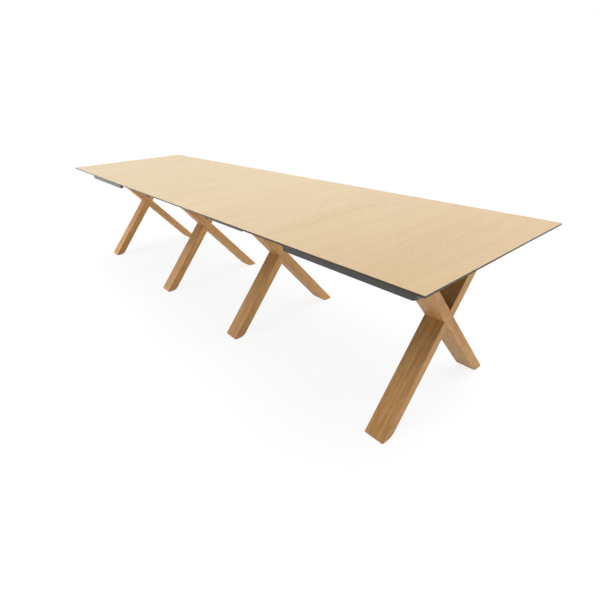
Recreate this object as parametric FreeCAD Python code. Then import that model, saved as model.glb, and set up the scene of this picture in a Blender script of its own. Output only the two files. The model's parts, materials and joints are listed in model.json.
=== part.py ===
import FreeCAD, Part
import math
import os

# Extending dining table, drawn fully open. Millimetres, +X along the table towards the right end,
# +Y towards the back, +Z up, origin on the floor under the middle of the top.
Vec = FreeCAD.Vector

# Top
table_length = 3400.0
table_width = 930.0
table_height = 740.0
leaf_length = 956.0
board_thickness = 8.0
veneer_thickness = 0.6
seam_gap = 0.6
running_gap = 0.3

# X frames
leg_width = 92.0
leg_thickness = 50.0
foot_half_span = 382.0
leg_top_half_span = 292.0
toe_radius = 6.0
heel_radius = 50.0
leg_edge_radius = 2.5
glide_thickness = 3.0
glide_radius = 11.0
outer_frame_inset = 213.0
parked_gap = 3.0

# Steel on the leg tops
head_plate_thickness = 8.0
pad_inner_margin = 4.0
bolt_radius = 4.0
bolt_head_radius = 8.0
bolt_head_height = 4.0
bolt_grip = 20.0
hole_gap = 0.2

# Apron under each end
apron_inset = 100.0
apron_end_inset = 95.0
apron_thickness = 18.0
apron_depth = 80.0
apron_corner_radius = 16.0
apron_corner_land = 1.0
bracket_size = 20.0
bracket_thickness = 3.0
bracket_length = 40.0
bracket_seam_distance = 90.0
bracket_pitch = 300.0
end_bracket_y = 250.0

# Plate beside one leg top of each inner frame
side_plate_thickness = 14.0
side_plate_depth = 86.0
side_plate_leg_gap = 5.0
side_plate_overhang = 78.0
side_plate_batten_gap = 15.0

# Runners
runner_leg_gap = 15.0
rail_thickness = 20.0
rail_height = 44.0
rail_top_drop = 18.0
rail_end_gap = 11.0
groove_height = 10.6
groove_depth = 7.0
groove_stop = 10.0
tongue_end_gap = 1.0
runner_side_gap = 0.4
runner_thickness = 20.0
runner_overlap = 265.0
packer_seam_distance = 44.0
packer_frame_gap = 4.0
crossbar_height = 25.0
crossbar_width = 60.0

# Battens under each leaf
batten_width = 60.0
batten_end_inset = 45.0
screws_per_batten = 4
screw_radius = 2.3
screw_head_radius = 4.7
screw_head_height = 3.0
screw_bite = 4.0
screw_end_distance = 40.0

# Levels
board_bottom = table_height - board_thickness
veneer_bottom = table_height - veneer_thickness
leg_top = board_bottom - head_plate_thickness
pad_top = board_bottom - running_gap
rail_top = board_bottom - rail_top_drop
rail_bottom = rail_top - rail_height
rail_middle = rail_top - rail_height / 2
runner_top = rail_top - running_gap
runner_bottom = rail_bottom + running_gap
batten_bottom = rail_top + running_gap
crossbar_bottom = rail_bottom - crossbar_height
apron_bottom = board_bottom - apron_depth
side_plate_bottom = leg_top - side_plate_depth

# Stations along the table, on the right half
half_length = table_length / 2
half_width = table_width / 2
end_board_start = leaf_length + seam_gap / 2
apron_end_outer = half_length - apron_end_inset
apron_end_inner = apron_end_outer - apron_thickness
outer_station = half_length - outer_frame_inset
inner_station = outer_station - leaf_length - leg_width - parked_gap
parked_apron_inner = apron_end_inner - leaf_length
near_batten_station = (inner_station - leg_width / 2) / 2
side_plate_start = near_batten_station + batten_width / 2 + side_plate_batten_gap
side_plate_end = inner_station + leg_width / 2 + side_plate_overhang
far_batten_station = (side_plate_end + leaf_length) / 2
rail_half = parked_apron_inner - rail_end_gap
runner_start = rail_half - runner_overlap

# Distances across the table
apron_outer_y = half_width - apron_inset
apron_inner_y = apron_outer_y - apron_thickness

# Lean of the legs: each outline runs from its foot's span to its top's span on the other side
leg_rise = leg_top - glide_thickness
leg_reach = foot_half_span + leg_top_half_span
lean = math.acos(leg_thickness / math.hypot(leg_reach, leg_rise)) - math.atan2(leg_rise, leg_reach)
cut_half = leg_thickness / 2 / math.cos(lean)
leg_top_y = leg_top_half_span - cut_half
leg_top_inner_y = leg_top_half_span - 2 * cut_half
side_plate_inner_y = leg_top_half_span + side_plate_leg_gap
side_plate_outer_y = side_plate_inner_y + side_plate_thickness


def arm_inner_y(z):
    """Distance from the table's middle plane to the inner face of an upper arm at a height."""
    return leg_top_inner_y - (leg_top - z) * math.tan(lean)


rail_y = arm_inner_y(rail_bottom) - runner_leg_gap - runner_thickness - runner_side_gap - rail_thickness / 2


def block(x, y, z):
    """Box from three pairs of limits, each in any order."""
    low = Vec(min(x), min(y), min(z))
    return Part.makeBox(abs(x[1] - x[0]), abs(y[1] - y[0]), abs(z[1] - z[0]), low)


def rod(radius, x, y, z):
    """Upright cylinder between two heights."""
    return Part.makeCylinder(radius, z[1] - z[0], Vec(x, y, z[0]))


def prism_x(outline, x):
    """Solid from a (y, z) outline, drawn along X between two stations."""
    points = [Vec(min(x), y, z) for y, z in outline]
    face = Part.Face(Part.makePolygon(points + points[:1]))
    return face.extrude(Vec(abs(x[1] - x[0]), 0, 0))


def prism_y(outline, y):
    """Solid from an (x, z) outline, drawn along Y between two distances."""
    points = [Vec(x, min(y), z) for x, z in outline]
    face = Part.Face(Part.makePolygon(points + points[:1]))
    return face.extrude(Vec(0, abs(y[1] - y[0]), 0))


def group(solids):
    return Part.makeCompound(solids)


def save(name, shape):
    shape.exportStep("parts/" + name + ".step")


# Legs: the foot of a leg is at the front (foot = -1) or the back (foot = +1)
def leg_outline(foot):
    toe = (foot * foot_half_span, glide_thickness)
    heel = (foot * (foot_half_span - 2 * cut_half), glide_thickness)
    top_outer = (-foot * leg_top_half_span, leg_top)
    top_inner = (-foot * leg_top_inner_y, leg_top)
    return [toe, heel, top_outer, top_inner]


def foot_edges(solid, y):
    """Edges along X at the sole of the foot, at a distance from the middle plane."""
    found = []
    for edge in solid.Edges:
        ends = [vertex.Point for vertex in edge.Vertexes]
        on_sole = all(abs(end.z - glide_thickness) < 0.01 for end in ends)
        if on_sole and all(abs(end.y - y) < 0.01 for end in ends):
            found.append(edge)
    return found


def long_edges(solid):
    """Edges of the two broad-side outlines, apart from those at the top cut."""
    found = []
    for edge in solid.Edges:
        ends = [vertex.Point for vertex in edge.Vertexes]
        on_one_side = abs(ends[0].x - ends[-1].x) < 0.01
        at_top = all(abs(end.z - leg_top) < 0.01 for end in ends)
        if on_one_side and not at_top:
            found.append(edge)
    return found


def leg(station, foot):
    """One plank with a rounded foot, half-lapped for the plank that it crosses."""
    outline = leg_outline(foot)
    sides = (station - leg_width / 2, station + leg_width / 2)
    plank = prism_x(outline, sides)
    plank = plank.makeFillet(toe_radius, foot_edges(plank, outline[0][0]))
    plank = plank.makeFillet(heel_radius, foot_edges(plank, outline[1][0]))
    plank = plank.makeFillet(leg_edge_radius, long_edges(plank))
    lap_side = station - foot * leg_width
    plank = plank.cut(prism_x(leg_outline(-foot), (station, lap_side)))
    return plank.cut(rod(bolt_radius + hole_gap, station, -foot * leg_top_y, (leg_top - bolt_grip, leg_top)))


def glide_y():
    """Middle of the flat part of the sole, between its rounded toe and heel."""
    sole_angle = math.pi / 2 - lean
    toe_flat = foot_half_span - toe_radius / math.tan(sole_angle / 2)
    heel_flat = foot_half_span - 2 * cut_half + heel_radius * math.tan(sole_angle / 2)
    return (toe_flat + heel_flat) / 2


def glides(station):
    return group([rod(glide_radius, station, foot * glide_y(), (0, glide_thickness)) for foot in (-1, 1)])


def plate_hole(station, y, top):
    """Clearance for a bolt and its sunk head in a plate on the leg tops."""
    shank = rod(bolt_radius + hole_gap, station, y, (leg_top, top))
    head = rod(bolt_head_radius + hole_gap, station, y, (top - bolt_head_height, top))
    return shank.fuse(head)


def bolts(station, top):
    made = []
    for y in (-leg_top_y, leg_top_y):
        shank = rod(bolt_radius, station, y, (leg_top - bolt_grip, top - bolt_head_height))
        head = rod(bolt_head_radius, station, y, (top - bolt_head_height, top))
        made.append(shank.fuse(head).removeSplitter())
    return group(made)


# Fixed middle: two inner X frames joined by the grooved rails
def inner_pads(side):
    """Steel pads on the inner leg tops, which carry the leaf; one of them also holds the side plate."""
    station = side * inner_station
    sides = (station - leg_width / 2, station + leg_width / 2)
    made = []
    for back in (-1, 1):
        outer_y = side_plate_outer_y if back == -side else leg_top_half_span
        reach = (back * (leg_top_inner_y - pad_inner_margin), back * outer_y)
        pad = block(sides, reach, (leg_top, pad_top))
        made.append(pad.cut(plate_hole(station, back * leg_top_y, pad_top)))
    return group(made)


def inner_side_plate(side):
    """Plate hung from a pad: at the front of the right inner frame, at the back of the left one."""
    reach = (-side * side_plate_inner_y, -side * side_plate_outer_y)
    return block((side * side_plate_start, side * side_plate_end), reach, (side_plate_bottom, leg_top))


def inner_crossbar(station):
    """Steel bar wedged between the two upper arms of an inner frame, under the rails."""
    low = arm_inner_y(crossbar_bottom)
    high = arm_inner_y(rail_bottom)
    outline = [(-low, crossbar_bottom), (low, crossbar_bottom), (high, rail_bottom), (-high, rail_bottom)]
    return prism_x(outline, (station - crossbar_width / 2, station + crossbar_width / 2))


def centre_rail(back):
    """Rail with a groove along each side; each groove stops short of the end that its runner leaves by."""
    sides = (back * (rail_y - rail_thickness / 2), back * (rail_y + rail_thickness / 2))
    rail = block((-rail_half, rail_half), sides, (rail_bottom, rail_top))
    groove = (rail_middle - groove_height / 2, rail_middle + groove_height / 2)
    for side in (-1, 1):
        face = back * (rail_y + side * rail_thickness / 2)
        floor = face - back * side * groove_depth
        rail = rail.cut(block((-side * rail_half, side * (rail_half - groove_stop)), (face, floor), groove))
    return rail


# Moving ends: board, apron, outer X frame and runners
def board(x, bevel_side, z):
    """Flat board layer; a leaf's edge next to the end board is cut back at 45 degrees."""
    start, stop = x
    low_stop = stop
    high_stop = stop
    if bevel_side:
        low_stop = stop - bevel_side * (table_height - z[0])
        high_stop = stop - bevel_side * (table_height - z[1])
    outline = [(start, z[0]), (low_stop, z[0]), (high_stop, z[1]), (start, z[1])]
    return prism_y(outline, (-half_width, half_width))


def apron_side(side, back):
    length = (side * end_board_start, side * apron_end_inner)
    return block(length, (back * apron_inner_y, back * apron_outer_y), (apron_bottom, board_bottom))


def apron_end(side):
    return block((side * apron_end_inner, side * apron_end_outer), (-apron_inner_y, apron_inner_y),
                 (apron_bottom, board_bottom))


def upright_edges(solid, x, y):
    """Edges along Z at a place in plan."""
    found = []
    for edge in solid.Edges:
        if all(abs(vertex.X - x) < 0.01 and abs(vertex.Y - y) < 0.01 for vertex in edge.Vertexes):
            found.append(edge)
    return found


def apron_corners(side):
    """Posts that join the apron's sides to its end, each with its outer edge rounded."""
    rounding = min(apron_corner_radius, apron_thickness - apron_corner_land)
    x = (side * apron_end_inner, side * apron_end_outer)
    made = []
    for back in (-1, 1):
        y = (back * apron_inner_y, back * apron_outer_y)
        post = block(x, y, (apron_bottom, board_bottom))
        made.append(post.makeFillet(rounding, upright_edges(post, x[1], y[1])))
    return group(made)


def angle_outline(wall, inward):
    """Section of an angle bracket: one leg on the apron, the other under the board."""
    reach = wall + inward * bracket_size
    skin = wall + inward * bracket_thickness
    low = board_bottom - bracket_size
    under = board_bottom - bracket_thickness
    on_apron = [(wall, low), (wall, board_bottom)]
    on_board = [(reach, board_bottom), (reach, under)]
    inside = [(skin, under), (skin, low)]
    return on_apron + on_board + inside


def apron_brackets(side):
    made = []
    for back in (-1, 1):
        for place in range(2):
            start = side * (end_board_start + bracket_seam_distance + place * bracket_pitch)
            outline = angle_outline(back * apron_inner_y, -back)
            made.append(prism_x(outline, (start, start + side * bracket_length)))
        middle = back * end_bracket_y
        outline = angle_outline(side * apron_end_inner, -side)
        made.append(prism_y(outline, (middle - bracket_length / 2, middle + bracket_length / 2)))
    return group(made)


def head_bar(side):
    """Steel flat across the leg tops of an outer frame, under the end board."""
    station = side * outer_station
    bar = block((station - leg_width / 2, station + leg_width / 2),
                (-leg_top_half_span, leg_top_half_span), (leg_top, board_bottom))
    for y in (-leg_top_y, leg_top_y):
        bar = bar.cut(plate_hole(station, y, board_bottom))
    return bar


def runner_faces(side, back):
    """Inner and outer face of a runner: the right end's run outside the rails, the left end's inside."""
    near = rail_y + side * (rail_thickness / 2 + runner_side_gap)
    return back * near, back * (near + side * runner_thickness)


def runner(side, back):
    """Bar under an end board, with a tongue at its inner end that meets the stop in the rail's groove."""
    near, far = runner_faces(side, back)
    bar = block((side * runner_start, side * apron_end_inner), (near, far), (runner_bottom, runner_top))
    tongue_length = (side * runner_start, side * (rail_half - groove_stop - running_gap))
    tip = near - side * back * (runner_side_gap + groove_depth - tongue_end_gap)
    half_tongue = groove_height / 2 - running_gap
    tongue = block(tongue_length, (tip, near), (rail_middle - half_tongue, rail_middle + half_tongue))
    return bar.fuse(tongue).removeSplitter()


def runner_packers(side):
    """Strips between the runners and the end board, before and behind the head bar."""
    before = (end_board_start + packer_seam_distance, outer_station - leg_width / 2 - packer_frame_gap)
    behind = (outer_station + leg_width / 2 + packer_frame_gap, apron_end_inner)
    made = []
    for back in (-1, 1):
        for start, stop in (before, behind):
            length = (side * start, side * stop)
            made.append(block(length, runner_faces(side, back), (runner_top, board_bottom)))
    return group(made)


# Loose leaves
def batten_stations(side):
    return [side * near_batten_station, side * far_batten_station]


def screw_distances():
    reach = half_width - batten_end_inset - screw_end_distance
    step = 2 * reach / (screws_per_batten - 1)
    return [-reach + step * place for place in range(screws_per_batten)]


def leaf_screw(x, y, gap):
    """Screw from under a batten into the board, or with a gap the hole that takes it."""
    head_top = batten_bottom + screw_head_height
    head = rod(screw_head_radius + gap, x, y, (batten_bottom, head_top))
    shank = rod(screw_radius + gap, x, y, (head_top, board_bottom + screw_bite))
    return head.fuse(shank)


def screw_places(side):
    return [(x, y) for x in batten_stations(side) for y in screw_distances()]


def leaf_battens(side):
    reach = half_width - batten_end_inset
    made = []
    for x in batten_stations(side):
        sides = (x - batten_width / 2, x + batten_width / 2)
        batten = block(sides, (-reach, reach), (batten_bottom, board_bottom))
        for y in screw_distances():
            batten = batten.cut(leaf_screw(x, y, hole_gap))
        made.append(batten)
    return group(made)


def leaf_span(side):
    return side * seam_gap / 2, side * (leaf_length - seam_gap / 2)


def leaf_core(side):
    core = board(leaf_span(side), side, (board_bottom, veneer_bottom))
    for x, y in screw_places(side):
        core = core.cut(leaf_screw(x, y, hole_gap))
    return core


def leaf_veneer(side):
    return board(leaf_span(side), side, (veneer_bottom, table_height))


os.makedirs("parts", exist_ok=True)

for back, place in ((-1, "front"), (1, "back")):
    save("centre_rail_" + place, centre_rail(back))

for side, name in ((1, "right"), (-1, "left")):
    inner = side * inner_station
    outer = side * outer_station
    end_span = (side * end_board_start, side * half_length)

    save(name + "_inner_crossbar", inner_crossbar(inner))
    save(name + "_inner_pads", inner_pads(side))
    save(name + "_inner_side_plate", inner_side_plate(side))
    save(name + "_inner_pad_bolts", bolts(inner, pad_top))
    save(name + "_inner_glides", glides(inner))

    save(name + "_end_core", board(end_span, 0, (board_bottom, veneer_bottom)))
    save(name + "_end_veneer", board(end_span, 0, (veneer_bottom, table_height)))
    save(name + "_apron_end", apron_end(side))
    save(name + "_apron_corners", apron_corners(side))
    save(name + "_apron_brackets", apron_brackets(side))
    save(name + "_outer_head_bar", head_bar(side))
    save(name + "_outer_head_bolts", bolts(outer, board_bottom))
    save(name + "_outer_glides", glides(outer))
    save(name + "_runner_packers", runner_packers(side))

    for back, place in ((-1, "front"), (1, "back")):
        save(name + "_inner_leg_" + place, leg(inner, back))
        save(name + "_outer_leg_" + place, leg(outer, back))
        save(name + "_apron_" + place, apron_side(side, back))
        save(name + "_runner_" + place, runner(side, back))

    save(name + "_leaf_core", leaf_core(side))
    save(name + "_leaf_veneer", leaf_veneer(side))
    save(name + "_leaf_battens", leaf_battens(side))
    save(name + "_leaf_screws", group([leaf_screw(x, y, 0) for x, y in screw_places(side)]))
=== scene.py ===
import json
import math

import bpy
from mathutils import Matrix, Vector


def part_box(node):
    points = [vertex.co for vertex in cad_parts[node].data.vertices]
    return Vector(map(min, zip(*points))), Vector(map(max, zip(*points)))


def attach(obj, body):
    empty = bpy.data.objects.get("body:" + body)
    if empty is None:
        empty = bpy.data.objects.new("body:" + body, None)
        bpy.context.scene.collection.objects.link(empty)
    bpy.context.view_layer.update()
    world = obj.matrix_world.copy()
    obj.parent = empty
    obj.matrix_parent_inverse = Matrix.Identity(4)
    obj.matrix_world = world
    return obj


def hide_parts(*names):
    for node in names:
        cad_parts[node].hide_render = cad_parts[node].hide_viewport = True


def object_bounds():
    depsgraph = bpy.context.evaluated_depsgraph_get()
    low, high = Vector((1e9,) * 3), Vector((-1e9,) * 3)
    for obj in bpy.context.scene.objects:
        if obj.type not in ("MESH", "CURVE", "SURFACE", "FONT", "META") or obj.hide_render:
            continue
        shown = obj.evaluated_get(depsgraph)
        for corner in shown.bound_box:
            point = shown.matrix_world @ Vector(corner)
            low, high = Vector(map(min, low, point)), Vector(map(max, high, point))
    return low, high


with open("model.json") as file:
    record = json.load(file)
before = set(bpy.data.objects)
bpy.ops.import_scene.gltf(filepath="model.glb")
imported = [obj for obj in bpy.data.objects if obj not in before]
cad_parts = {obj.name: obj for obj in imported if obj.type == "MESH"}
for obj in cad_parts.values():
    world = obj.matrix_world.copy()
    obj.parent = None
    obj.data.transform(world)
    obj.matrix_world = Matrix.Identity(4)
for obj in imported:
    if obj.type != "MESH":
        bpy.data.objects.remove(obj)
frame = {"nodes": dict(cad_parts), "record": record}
cad_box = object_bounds()
nodes = frame["nodes"]
sides = ("right", "left")
rails = ("centre_rail_front", "centre_rail_back")
down = (0, 0, -1)

# Camera at the photograph's viewpoint: metres, degrees, and a square picture in pixels
picture_size = 600
focal_pixels = 411.45
sensor_width = 36.0
eye = Vector((2.2424, -1.3508, 1.2400))
heading = math.radians(140.333)
tilt_down = math.radians(26.821)
camera_roll = math.radians(2.225)

# Even light, from the sky and from two broad lamps
ambient_level = 0.03
overhead_from = Vector((0.1, 0.3, 1.0))
overhead_spread = math.radians(60.0)
overhead_level = 0.63
front_from = Vector((-0.15, -0.56, 0.83))
front_spread = math.radians(40.0)
front_level = 0.33

# Softboxes: where each stands, what it points at, and its power in watts
softbox_size = (1.6, 1.0)
fill_place = Vector((-2.3, -2.0, 0.40))
fill_target = Vector((-0.8, 0.0, 0.35))
fill_power = 26.0
side_place = Vector((3.3, 0.6, 0.8))
side_target = Vector((1.4, 0.0, 0.4))
side_power = 7.0
back_place = Vector((2.2, 2.2, 0.9))
back_target = Vector((0.0, 0.3, 0.3))
back_power = 14.0
low_softbox_size = (1.6, 0.6)
low_place = Vector((0.9, 2.5, 0.4))
low_target = Vector((-1.0, 0.1, 0.3))
low_power = 26.0

# Floor: how it lights the object, and how it shows, by its matt share and its even glow
floor_size = 240.0
floor_albedo = 0.64
floor_bounce = 0.08
floor_shadow_share = 0.17
floor_glow = 0.87

# Fine dark strip along the edge of a board at a seam, partly the board's darker edge and partly painted
# shade of the gap between boards: its width, the full part of it, and its strength
seam_line_width = 0.0018
seam_line_full = 0.6
seam_edge_and_shade_share = 0.55
middle_seam_edge_and_shade_share = 0.15

# Stretch of the table, in metres from its middle, where the veneer turns warmer and darker towards the right
# end: partly its own tone, partly painted shade for light that falls unevenly along the top
warm_shade_from = 0.2
warm_shade_to = 1.8
warm_shade_tint = (0.897, 0.828, 0.769, 1.0)

# Worn edges: the turn of the normal at which wear begins and is full
edge_samples = 6
edge_begins = 0.02
edge_full = 0.25

# Places of the colour sockets on a Mix node
mix_first = 6
mix_second = 7
mix_result = 2

# Small fittings, lengths in metres
ring_steps = 48
soft_edge = math.radians(35.0)
solid_spread = 0.06
screw_head_radius = 0.0047
screw_head_height = 0.003
screw_shank_radius = 0.0023
bracket_thickness = 0.003
bracket_screw_radius = 0.004
bracket_screw_height = 0.0022
bracket_screw_spacing = 0.024
crossbar_screw_radius = 0.006
crossbar_screw_height = 0.0033
crossbar_screw_spacing = 0.03
cap_thickness = 0.0025
cap_inset = 0.0003
cap_edge_share = 0.3
cap_sharpness = 9.0

# Profiles of a screw head and of its recess, as shares of the head's radius and height
head_profile = ((1.0, 0.0), (1.0, 0.5), (0.93, 0.8), (0.74, 1.0))
recess_profile = ((0.55, 1.0), (0.40, 0.35))
cross_arm_share = 0.24

# Least sine or cosine that a length is divided by
least_divisor = 1e-6

# Grain directions, as the turn about each axis that brings the grain to local Z
leg_lean = math.radians(40.17)
quarter_turn = math.radians(90.0)
grain_along_y = (quarter_turn, 0.0, 0.0)
grain_along_x = (0.0, -quarter_turn, 0.0)
grain_front_foot = (leg_lean, 0.0, 0.0)
grain_back_foot = (-leg_lean, 0.0, 0.0)


def linear(red, green, blue):
    """Linear colour from display values between 0 and 255, by the sRGB curve."""
    def channel(value):
        share = value / 255
        return share / 12.92 if share <= 0.04045 else ((share + 0.055) / 1.055) ** 2.4

    return (channel(red), channel(green), channel(blue), 1.0)


def scaled(color, factor):
    return (color[0] * factor, color[1] * factor, color[2] * factor, 1.0)


class Graph:
    """A material's node tree, with one Principled shader."""

    def __init__(self, name):
        self.material = bpy.data.materials.new(name)
        self.material.use_nodes = True
        self.tree = self.material.node_tree
        self.tree.nodes.clear()
        self.shader = self.add("ShaderNodeBsdfPrincipled")
        output = self.add("ShaderNodeOutputMaterial")
        self.tree.links.new(self.shader.outputs["BSDF"], output.inputs["Surface"])

    def add(self, kind, **settings):
        node = self.tree.nodes.new(kind)
        for key, value in settings.items():
            setattr(node, key, value)
        return node

    def feed(self, socket, value):
        """Link a socket to another, or set it to a number, vector or colour."""
        if isinstance(value, bpy.types.NodeSocket):
            self.tree.links.new(value, socket)
        else:
            socket.default_value = value

    def coordinates(self, turn=(0.0, 0.0, 0.0)):
        """The piece's own coordinates in metres, turned so that its grain runs along local Z."""
        source = self.add("ShaderNodeTexCoord")
        mapping = self.add("ShaderNodeMapping")
        self.feed(mapping.inputs["Vector"], source.outputs["Object"])
        self.feed(mapping.inputs["Rotation"], turn)
        return mapping.outputs["Vector"]

    def stretch(self, vector, across, along):
        """Coordinates scaled by one factor across the grain and another along it."""
        mapping = self.add("ShaderNodeMapping")
        self.feed(mapping.inputs["Vector"], vector)
        self.feed(mapping.inputs["Scale"], (across, across, along))
        return mapping.outputs["Vector"]

    def noise(self, vector, scale=1.0, detail=2.0, roughness=0.5, distortion=0.0):
        node = self.add("ShaderNodeTexNoise")
        self.feed(node.inputs["Vector"], vector)
        self.feed(node.inputs["Scale"], scale)
        self.feed(node.inputs["Detail"], detail)
        self.feed(node.inputs["Roughness"], roughness)
        self.feed(node.inputs["Distortion"], distortion)
        return node.outputs["Fac"]

    def math(self, operation, first, second=0.0):
        node = self.add("ShaderNodeMath", operation=operation)
        self.feed(node.inputs[0], first)
        self.feed(node.inputs[1], second)
        return node.outputs[0]

    def span(self, value, low, high, to_low=0.0, to_high=1.0):
        """Smooth step from to_low to to_high as the value goes from low to high."""
        node = self.add("ShaderNodeMapRange", interpolation_type="SMOOTHSTEP")
        self.feed(node.inputs["Value"], value)
        self.feed(node.inputs["From Min"], low)
        self.feed(node.inputs["From Max"], high)
        self.feed(node.inputs["To Min"], to_low)
        self.feed(node.inputs["To Max"], to_high)
        return node.outputs["Result"]

    def mix(self, share, first, second, blend="MIX"):
        node = self.add("ShaderNodeMix", data_type="RGBA", blend_type=blend)
        self.feed(node.inputs["Factor"], share)
        self.feed(node.inputs[mix_first], first)
        self.feed(node.inputs[mix_second], second)
        return node.outputs[mix_result]

    def tinge(self, color, other, value, share):
        """The colour brought towards another by a share of the value."""
        return self.mix(self.math("MULTIPLY", value, share), color, other)

    def rise(self, color, other, value, low, high, share=1.0):
        """The colour brought towards another as the value rises from low to high, up to the share."""
        return self.mix(self.span(value, low, high, to_high=share), color, other)

    def fall(self, color, other, value, low, high, share):
        """The colour brought towards another as the value falls from high to low, up to the share."""
        return self.mix(self.span(value, low, high, to_low=share, to_high=0.0), color, other)

    def edges(self, radius):
        """Share from 0 on flat faces to 1 along sharp edges."""
        bevel = self.add("ShaderNodeBevel", samples=edge_samples)
        self.feed(bevel.inputs["Radius"], radius)
        geometry = self.add("ShaderNodeNewGeometry")
        dot = self.add("ShaderNodeVectorMath", operation="DOT_PRODUCT")
        self.feed(dot.inputs[0], bevel.outputs["Normal"])
        self.feed(dot.inputs[1], geometry.outputs["Normal"])
        turned = self.math("SUBTRACT", 1.0, dot.outputs["Value"])
        return self.span(turned, edge_begins, edge_full)

    def bump(self, height, distance):
        node = self.add("ShaderNodeBump")
        self.feed(node.inputs["Height"], height)
        self.feed(node.inputs["Distance"], distance)
        self.feed(self.shader.inputs["Normal"], node.outputs["Normal"])

    def finish(self, color, roughness, specular=0.5, metallic=0.0):
        self.feed(self.shader.inputs["Base Color"], color)
        self.feed(self.shader.inputs["Roughness"], roughness)
        self.feed(self.shader.inputs["Specular IOR Level"], specular)
        self.feed(self.shader.inputs["Metallic"], metallic)
        return self.material


# Woods
def wood_layers(graph, turn, figure_scale, figure_bands):
    """Shares between 0 and 1 for the layers of a wood: figure, fine streaks, pores and broad tone."""
    length_to_width = 14
    place = graph.coordinates(turn)
    figure_space = graph.stretch(place, across=figure_scale, along=figure_scale / length_to_width)
    drift = graph.noise(figure_space, detail=1.5, roughness=0.45, distortion=0.25)
    wave = graph.math("SINE", graph.math("MULTIPLY", drift, figure_bands))
    figure = graph.span(wave, low=-1.0, high=1.0)
    streak_space = graph.stretch(place, across=420.0, along=7.0)
    streaks = graph.noise(streak_space, detail=3.0, roughness=0.6)
    pore_space = graph.stretch(place, across=1100.0, along=45.0)
    pores = graph.span(graph.noise(pore_space, detail=1.0), low=0.60, high=0.74)
    tone_space = graph.stretch(place, across=5.0, along=1.2)
    tone = graph.noise(tone_space, detail=2.0)
    return figure, streaks, pores, tone


def along_table(graph):
    """Place along the table, in metres from its middle towards the right end."""
    axes = graph.add("ShaderNodeSeparateXYZ")
    graph.feed(axes.inputs[0], graph.coordinates())
    return axes.outputs["X"]


def seam_edge_and_gap_shade(graph, seam_x):
    """Share that is 1 on the fine strip of a board beside a seam, and 0 elsewhere; it carries the board's
    darker edge and the painted shade of the gap.
    """
    distance = graph.math("ABSOLUTE", graph.math("SUBTRACT", along_table(graph), seam_x))
    return graph.span(distance, seam_line_full * seam_line_width, seam_line_width, to_low=1.0, to_high=0.0)


def veneer(board):
    """Pale oak veneer, matt lacquer, grain across the table, with a fine dark line along its seams, partly
    painted shade of the gaps, and a darker, warmer stretch towards the right end, partly painted shade.
    """
    graph = Graph("veneer_" + board)
    pale = linear(236, 212, 171)
    dark = linear(227, 199, 153)
    figure, streaks, pores, tone = wood_layers(graph, grain_along_y, figure_scale=4.5, figure_bands=45.0)
    fleck_space = graph.stretch(graph.coordinates(grain_along_y), across=80.0, along=26.0)
    flecks = graph.noise(fleck_space, detail=4.0, roughness=0.7, distortion=1.0)
    color = graph.tinge(pale, dark, figure, share=0.55)
    color = graph.rise(color, dark, streaks, low=0.35, high=0.75, share=0.5)
    color = graph.rise(color, scaled(dark, 0.88), flecks, low=0.52, high=0.72, share=0.9)
    color = graph.fall(color, scaled(pale, 1.05), flecks, low=0.28, high=0.46, share=0.6)
    color = graph.tinge(color, scaled(dark, 0.72), pores, share=0.35)
    color = graph.rise(color, pale, tone, low=0.3, high=0.7, share=0.3)
    low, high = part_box(board + "_veneer")
    # Fine dark line beside each seam: partly the board's darker edge, partly painted shade of the gap
    # between boards
    for seam_x in (low[0], high[0]):
        at_middle = abs(seam_x) < seam_line_width
        at_end = abs(seam_x) > cad_box[1][0] - seam_line_width
        if not at_end:
            share = middle_seam_edge_and_shade_share if at_middle else seam_edge_and_shade_share
            color = graph.tinge(color, scaled(dark, 0.72), seam_edge_and_gap_shade(graph, seam_x), share)
    color = graph.tinge(color, scaled(dark, 0.6), graph.edges(radius=0.0012), share=0.35)
    # Painted shade in part: the veneer turns darker and warmer towards the right end, partly its own tone
    # and partly for light that falls unevenly along the top
    warmth_and_shade = graph.span(along_table(graph), warm_shade_from, warm_shade_to)
    color = graph.mix(warmth_and_shade, color, warm_shade_tint, blend="MULTIPLY")
    graph.bump(graph.math("SUBTRACT", streaks, pores), distance=0.00008)
    roughness = graph.span(streaks, low=0.2, high=0.8, to_low=0.38, to_high=0.46)
    return graph.finish(color, roughness, specular=0.5)


def oak(name, turn):
    """Solid oak of the legs, oiled, grain along the plank."""
    graph = Graph(name)
    pale = linear(231, 181, 118)
    dark = linear(200, 142, 79)
    figure, streaks, pores, tone = wood_layers(graph, turn, figure_scale=14.0, figure_bands=40.0)
    band_space = graph.stretch(graph.coordinates(turn), across=150.0, along=2.2)
    bands = graph.noise(band_space, detail=3.0, roughness=0.6, distortion=0.4)
    mottle_space = graph.stretch(graph.coordinates(turn), across=70.0, along=14.0)
    mottle = graph.noise(mottle_space, detail=3.0, roughness=0.65)
    color = graph.tinge(pale, dark, figure, share=0.35)
    color = graph.rise(color, scaled(dark, 0.83), bands, low=0.38, high=0.72, share=0.85)
    color = graph.rise(color, scaled(dark, 0.75), mottle, low=0.45, high=0.70, share=0.6)
    color = graph.fall(color, scaled(pale, 1.05), mottle, low=0.30, high=0.48, share=0.5)
    color = graph.rise(color, scaled(dark, 0.9), streaks, low=0.35, high=0.7, share=0.6)
    color = graph.tinge(color, scaled(dark, 0.5), pores, share=0.5)
    color = graph.rise(color, scaled(pale, 1.05), tone, low=0.25, high=0.75, share=0.3)
    color = graph.tinge(color, scaled(pale, 1.1), graph.edges(radius=0.003), share=0.3)
    graph.bump(graph.math("SUBTRACT", streaks, pores), distance=0.00015)
    roughness = graph.span(streaks, low=0.2, high=0.8, to_low=0.42, to_high=0.56)
    return graph.finish(color, roughness, specular=0.25)


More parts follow.
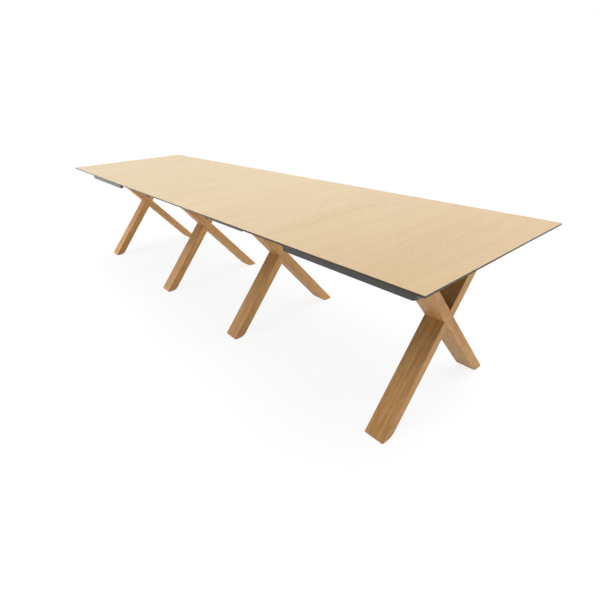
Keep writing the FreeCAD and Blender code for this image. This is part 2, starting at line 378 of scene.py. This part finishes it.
def beech(name, turn):
    """Plain beech of the battens and packers, sanded, with short dark flecks along the grain."""
    graph = Graph(name)
    pale = linear(205, 170, 128)
    dark = linear(178, 138, 96)
    figure, streaks, _, tone = wood_layers(graph, turn, figure_scale=8.0, figure_bands=20.0)
    fleck_space = graph.stretch(graph.coordinates(turn), across=1300.0, along=260.0)
    flecks = graph.span(graph.noise(fleck_space, detail=0.5), low=0.62, high=0.70)
    color = graph.tinge(pale, dark, figure, share=0.6)
    color = graph.rise(color, dark, streaks, low=0.35, high=0.75, share=0.4)
    color = graph.tinge(color, scaled(dark, 0.55), flecks, share=0.5)
    color = graph.rise(color, scaled(pale, 1.05), tone, low=0.3, high=0.7, share=0.3)
    graph.bump(graph.math("SUBTRACT", streaks, flecks), distance=0.0001)
    roughness = graph.span(streaks, low=0.2, high=0.8, to_low=0.55, to_high=0.70)
    return graph.finish(color, roughness, specular=0.3)


def dense_core(name):
    """Dark dense core of the boards, with faint layers seen on its edges."""
    graph = Graph(name)
    base = linear(68, 55, 41)
    place = graph.coordinates()
    layers = graph.noise(graph.stretch(place, across=3.0, along=1500.0), detail=1.0)
    mottle = graph.noise(place, scale=160.0, detail=4.0, roughness=0.65)
    color = graph.rise(base, scaled(base, 0.6), layers, low=0.3, high=0.7)
    color = graph.rise(color, scaled(base, 1.5), mottle, low=0.35, high=0.75, share=0.5)
    color = graph.tinge(color, scaled(base, 2.2), graph.edges(radius=0.0008), share=0.25)
    graph.bump(graph.math("ADD", layers, mottle), distance=0.00006)
    roughness = graph.span(mottle, low=0.2, high=0.8, to_low=0.42, to_high=0.60)
    return graph.finish(color, roughness, specular=0.4)


# Coated and plain metals, plastic
def coated(name, base, grain_size, depth, roughness, specular, wear):
    """Lacquer or powder coat: fine orange peel, cloudy tone, edges rubbed paler."""
    graph = Graph(name)
    place = graph.coordinates()
    peel = graph.noise(place, scale=1.0 / grain_size, detail=2.0, roughness=0.55)
    cloud = graph.noise(place, scale=6.0, detail=3.0)
    scuffs = graph.noise(graph.stretch(place, across=60.0, along=140.0), detail=5.0, roughness=0.7)
    color = graph.rise(scaled(base, 0.9), scaled(base, 1.1), cloud, low=0.3, high=0.7)
    color = graph.rise(color, scaled(base, 0.8), peel, low=0.3, high=0.7, share=0.35)
    rubbed = graph.span(scuffs, low=0.35, high=0.65, to_low=0.2)
    worn = graph.math("MULTIPLY", graph.edges(radius=0.002), rubbed)
    color = graph.tinge(color, scaled(base, 2.2), worn, wear)
    graph.bump(peel, depth)
    uneven = graph.span(cloud, low=0.3, high=0.7, to_low=roughness - 0.05, to_high=roughness + 0.07)
    return graph.finish(color, uneven, specular)


def aluminium(name):
    """Clear anodised extrusion, with draw lines along X."""
    graph = Graph(name)
    base = linear(200, 202, 204)
    place = graph.coordinates(grain_along_x)
    lines = graph.noise(graph.stretch(place, across=1800.0, along=2.0), detail=3.0, roughness=0.6)
    cloud = graph.noise(place, scale=9.0, detail=3.0)
    color = graph.rise(base, scaled(base, 0.82), lines, low=0.3, high=0.7)
    color = graph.rise(color, scaled(base, 0.75), cloud, low=0.35, high=0.7, share=0.25)
    graph.bump(lines, distance=0.00003)
    roughness = graph.span(lines, low=0.25, high=0.75, to_low=0.30, to_high=0.46)
    return graph.finish(color, roughness, metallic=1.0)


def zinc(name):
    """Bright zinc plate, faintly blue and yellow in patches."""
    graph = Graph(name)
    cool = linear(192, 198, 206)
    warm = linear(206, 200, 178)
    place = graph.coordinates()
    patches = graph.noise(place, scale=55.0, detail=3.0)
    spots = graph.noise(place, scale=420.0, detail=2.0)
    color = graph.rise(cool, warm, patches, low=0.35, high=0.65)
    color = graph.rise(color, scaled(cool, 0.55), spots, low=0.55, high=0.75, share=0.35)
    graph.bump(spots, distance=0.00004)
    roughness = graph.span(patches, low=0.3, high=0.7, to_low=0.28, to_high=0.42)
    return graph.finish(color, roughness, metallic=1.0)


def moulded(name):
    """Matt black plastic of the glides and the rail caps."""
    graph = Graph(name)
    base = linear(44, 44, 45)
    place = graph.coordinates()
    spark = graph.noise(place, scale=1500.0, detail=2.0)
    dust = graph.noise(place, scale=70.0, detail=4.0, roughness=0.65)
    color = graph.rise(base, scaled(base, 2.4), dust, low=0.4, high=0.75, share=0.4)
    color = graph.rise(color, scaled(base, 0.7), spark, low=0.35, high=0.7, share=0.3)
    graph.bump(spark, distance=0.00006)
    roughness = graph.span(dust, low=0.3, high=0.7, to_low=0.55, to_high=0.72)
    return graph.finish(color, roughness, specular=0.4)


def dress():
    """Give every CAD node its finish, and hand back the finishes that whole slots share."""
    veneers = {board: veneer(board) for board in ("right_end", "right_leaf", "left_leaf", "left_end")}
    oaks = {
        "front": oak("oak_leg_front_foot", grain_front_foot),
        "back": oak("oak_leg_back_foot", grain_back_foot),
    }
    beeches = {
        "battens": beech("beech_batten", grain_along_y),
        "packers": beech("beech_packer", grain_along_x),
    }
    by_slot = {
        "dark_core": dense_core("dark_core"),
        "grey_lacquer": coated(
            "grey_lacquer", linear(84, 83, 80),
            grain_size=0.0011, depth=0.000008, roughness=0.16, specular=0.5, wear=0.35,
        ),
        "black_steel": coated(
            "black_steel", linear(46, 46, 47),
            grain_size=0.0007, depth=0.00009, roughness=0.55, specular=0.4, wear=0.3,
        ),
        "aluminium_rail": aluminium("aluminium_rail"),
        "zinc_steel": zinc("zinc_steel"),
        "glide": moulded("glide"),
    }
    slots = {part["node"]: part["material_slot"] for part in frame["record"]["subparts"]}
    for name, node in nodes.items():
        slot = slots[name]
        if slot == "oak_veneer":
            finish = veneers[name.removesuffix("_veneer")]
        elif slot == "oak_leg":
            finish = oaks[name.split("_")[-1]]
        elif slot == "batten_wood":
            finish = beeches[name.split("_")[-1]]
        else:
            finish = by_slot[slot]
        node.data.materials.clear()
        node.data.materials.append(finish)
    return by_slot


# Small fittings
def circle(radius):
    return lambda angle: radius


def cross(arm, half_width):
    """Outline of a cross-shaped recess."""
    def reach(angle):
        along = max(abs(math.cos(angle)), least_divisor)
        across = max(abs(math.sin(angle)), least_divisor)
        return max(min(arm / along, half_width / across), min(half_width / along, arm / across))

    return reach


def cross_recess(arm):
    return cross(arm, cross_arm_share * arm)


def hexagon(half_flats):
    """Outline of a six-sided socket, from half its width across the flats."""
    sixth = math.pi / 3
    return lambda angle: half_flats / math.cos(angle % sixth - sixth / 2)


def rounded_box(half_width, half_height):
    """Outline of a rectangle with rounded corners."""
    def reach(angle):
        along = abs(math.cos(angle)) / half_width
        across = abs(math.sin(angle)) / half_height
        return (along ** cap_sharpness + across ** cap_sharpness) ** (-1.0 / cap_sharpness)

    return reach


def pan_head(radius, height, recess):
    """Rings of a screw head from its seat to the floor of its recess, as outlines and heights."""
    outside = [(circle(across * radius), up * height) for across, up in head_profile]
    inside = [(recess(across * radius), up * height) for across, up in recess_profile]
    return outside + inside


def facing(place, axis):
    """Placement whose local Z points along the axis."""
    return Matrix.Translation(place) @ Vector(axis).to_track_quat("Z", "Y").to_matrix().to_4x4()


def ringed_piece(name, body, slot, placements, rings):
    """One piece with the same ringed shape at each placement, closed at its first and last ring."""
    vertices = []
    faces = []
    for placement in placements:
        first = len(vertices)
        last = first + (len(rings) - 1) * ring_steps
        for outline, height in rings:
            for step in range(ring_steps):
                angle = 2 * math.pi * step / ring_steps
                reach = outline(angle)
                corner = Vector((reach * math.cos(angle), reach * math.sin(angle), height))
                vertices.append(placement @ corner)
        for low in range(first, last, ring_steps):
            high = low + ring_steps
            for step in range(ring_steps):
                after = (step + 1) % ring_steps
                faces.append((low + step, low + after, high + after, high + step))
        faces.append([first + step for step in reversed(range(ring_steps))])
        faces.append([last + step for step in range(ring_steps)])
    mesh = bpy.data.meshes.new(name)
    mesh.from_pydata(vertices, [], faces)
    mesh.shade_smooth()
    mesh.set_sharp_from_angle(angle=soft_edge)
    mesh.materials.append(shared_finishes[slot])
    piece = bpy.data.objects.new(name, mesh)
    bpy.context.scene.collection.objects.link(piece)
    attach(piece, body)
    return piece


def clusters(name):
    """Boxes of a node's separate small solids, which are smaller than the spread and stand further apart."""
    groups = []
    for vertex in nodes[name].data.vertices:
        for group in groups:
            if (vertex.co - group[0]).length < solid_spread:
                group.append(vertex.co)
                break
        else:
            groups.append([vertex.co])
    return [
        (Vector(map(min, zip(*group))), Vector(map(max, zip(*group))))
        for group in groups
    ]


def leaf_screws(side):
    """Cross-headed screws, sunk flush in the underside of the battens."""
    node = side + "_leaf_screws"
    boxes = clusters(node)
    placements = []
    for low, high in boxes:
        middle = (low + high) / 2
        placements.append(facing((middle.x, middle.y, low.z + screw_head_height), down))
    low, high = boxes[0]
    tip = low.z + screw_head_height - high.z
    shank = [(circle(screw_shank_radius), tip), (circle(screw_shank_radius), 0.0)]
    head = pan_head(screw_head_radius, screw_head_height, cross_recess)
    piece = ringed_piece(side + "_leaf_screw_heads", side + "_leaf", "zinc_steel", placements, shank + head)
    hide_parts(node)


def bracket_screws(side):
    """Cross-headed screws in both legs of each angle bracket, two to a leg."""
    placements = []
    for low, high in clusters(side + "_apron_brackets"):
        middle = (low + high) / 2
        size = high - low
        runs_along = 0 if size.x > size.y else 1
        faces_along = 1 - runs_along
        inward = -1.0 if middle[faces_along] > 0 else 1.0
        wall = high[faces_along] if inward < 0 else low[faces_along]
        free_middle = (size[faces_along] - bracket_thickness) / 2
        for end in (-1, 1):
            upright = Vector((0.0, 0.0, low.z + free_middle))
            upright[runs_along] = middle[runs_along] + end * bracket_screw_spacing / 2
            upright[faces_along] = wall + inward * bracket_thickness
            axis = Vector((0.0, 0.0, 0.0))
            axis[faces_along] = inward
            placements.append(facing(upright, axis))
            under = Vector((0.0, 0.0, high.z - bracket_thickness))
            under[runs_along] = upright[runs_along]
            under[faces_along] = wall + inward * (bracket_thickness + free_middle)
            placements.append(facing(under, down))
    head = pan_head(bracket_screw_radius, bracket_screw_height, cross_recess)
    ringed_piece(side + "_bracket_screws", side + "_end", "zinc_steel", placements, head)


def crossbar_screws(side):
    """Socket-headed screws up through the crossbar into the rails."""
    low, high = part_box(side + "_inner_crossbar")
    placements = []
    for rail in rails:
        rail_low, rail_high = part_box(rail)
        for end in (-1, 1):
            x = (low[0] + high[0]) / 2 + end * crossbar_screw_spacing / 2
            placements.append(facing((x, (rail_low[1] + rail_high[1]) / 2, low[2]), down))
    head = pan_head(crossbar_screw_radius, crossbar_screw_height, hexagon)
    ringed_piece(side + "_crossbar_screws", "centre_frame", "zinc_steel", placements, head)


def rail_caps():
    """Thin moulded caps on the ends of the rails."""
    placements = []
    for rail in rails:
        low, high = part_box(rail)
        middle = (Vector(low) + Vector(high)) / 2
        placements.append(facing((low[0], middle.y, middle.z), (-1, 0, 0)))
        placements.append(facing((high[0], middle.y, middle.z), (1, 0, 0)))
    half_width = (high[1] - low[1]) / 2 - cap_inset
    half_height = (high[2] - low[2]) / 2 - cap_inset
    edge = cap_edge_share * cap_thickness
    rings = [
        (rounded_box(half_width, half_height), 0.0),
        (rounded_box(half_width, half_height), cap_thickness - edge),
        (rounded_box(half_width - edge, half_height - edge), cap_thickness),
    ]
    ringed_piece("rail_end_caps", "centre_frame", "glide", placements, rings)


# Room
def white_to_eye(tree):
    """Share that is 1 for rays that show a surface or the sky directly, in a mirror or through glass."""
    path = tree.nodes.new("ShaderNodeLightPath")
    share = path.outputs["Is Camera Ray"]
    for other in ("Is Glossy Ray", "Is Transmission Ray"):
        larger = tree.nodes.new("ShaderNodeMath")
        larger.operation = "MAXIMUM"
        tree.links.new(share, larger.inputs[0])
        tree.links.new(path.outputs[other], larger.inputs[1])
        share = larger.outputs[0]
    return share


def add_sky():
    """Sky that shows white and lights the object a little from all round."""
    world = bpy.data.worlds.new("studio")
    bpy.context.scene.world = world
    world.use_nodes = True
    tree = world.node_tree
    background = tree.nodes["Background"]
    background.inputs["Color"].default_value = (1.0, 1.0, 1.0, 1.0)
    level = tree.nodes.new("ShaderNodeMapRange")
    level.inputs["To Min"].default_value = ambient_level
    level.inputs["To Max"].default_value = 1.0
    tree.links.new(white_to_eye(tree), level.inputs["Value"])
    tree.links.new(level.outputs["Result"], background.inputs["Strength"])


def add_floor():
    """Pale floor that shows white with the object's soft shadow, and lights the object from below."""
    bpy.ops.mesh.primitive_plane_add(size=floor_size)
    floor = bpy.context.object
    floor.name = "floor"
    material = bpy.data.materials.new("floor")
    material.use_nodes = True
    tree = material.node_tree
    tree.nodes.clear()

    def layer(albedo, strength):
        """A matt surface that also glows evenly."""
        matt = tree.nodes.new("ShaderNodeBsdfDiffuse")
        matt.inputs["Color"].default_value = (albedo, albedo, albedo, 1.0)
        glow = tree.nodes.new("ShaderNodeEmission")
        glow.inputs["Strength"].default_value = strength
        both = tree.nodes.new("ShaderNodeAddShader")
        tree.links.new(matt.outputs[0], both.inputs[0])
        tree.links.new(glow.outputs[0], both.inputs[1])
        return both.outputs[0]

    chosen = tree.nodes.new("ShaderNodeMixShader")
    output = tree.nodes.new("ShaderNodeOutputMaterial")
    tree.links.new(white_to_eye(tree), chosen.inputs["Fac"])
    tree.links.new(layer(floor_albedo, floor_bounce), chosen.inputs[1])
    tree.links.new(layer(floor_shadow_share, floor_glow), chosen.inputs[2])
    tree.links.new(chosen.outputs[0], output.inputs["Surface"])
    floor.data.materials.append(material)


def add_softbox(name, place, target, size, power):
    """Rectangular lamp that points at its target and doesn't show in the picture."""
    light = bpy.data.lights.new(name, "AREA")
    light.shape = "RECTANGLE"
    light.size, light.size_y = size
    light.energy = power
    lamp = bpy.data.objects.new(name, light)
    bpy.context.scene.collection.objects.link(lamp)
    lamp.visible_camera = False
    lamp.location = place
    lamp.rotation_euler = (target - place).to_track_quat("-Z", "Y").to_euler()


def add_light(name, comes_from, spread, level):
    """Broad even light; its level is the brightness that it gives a white surface facing it."""
    light = bpy.data.lights.new(name, "SUN")
    light.angle = spread
    light.energy = level * math.pi
    lamp = bpy.data.objects.new(name, light)
    bpy.context.scene.collection.objects.link(lamp)
    lamp.rotation_euler = (-comes_from).to_track_quat("-Z", "Y").to_euler()


def add_camera():
    """Camera at the eye, turned by its heading, its tilt and its roll."""
    flat = math.cos(tilt_down)
    forward = Vector((flat * math.cos(heading), flat * math.sin(heading), -math.sin(tilt_down)))
    level = forward.cross(Vector((0.0, 0.0, 1.0))).normalized()
    under = forward.cross(level)
    across = math.cos(camera_roll) * level + math.sin(camera_roll) * under
    upward = math.sin(camera_roll) * level - math.cos(camera_roll) * under
    data = bpy.data.cameras.new("camera")
    data.sensor_width = sensor_width
    data.lens = focal_pixels / picture_size * sensor_width
    camera = bpy.data.objects.new("camera", data)
    bpy.context.scene.collection.objects.link(camera)
    turn = Matrix((across, upward, -forward)).transposed().to_4x4()
    camera.matrix_world = Matrix.Translation(eye) @ turn
    bpy.context.scene.camera = camera


shared_finishes = dress()
for side in sides:
    leaf_screws(side)
    bracket_screws(side)
    crossbar_screws(side)
rail_caps()
add_sky()
add_floor()
add_light("overhead", overhead_from, overhead_spread, overhead_level)
add_light("front", front_from, front_spread, front_level)
add_softbox("fill", fill_place, fill_target, softbox_size, fill_power)
add_softbox("side", side_place, side_target, softbox_size, side_power)
add_softbox("back", back_place, back_target, softbox_size, back_power)
add_softbox("low", low_place, low_target, low_softbox_size, low_power)
add_camera()
bpy.context.scene.view_settings.view_transform = "Standard"
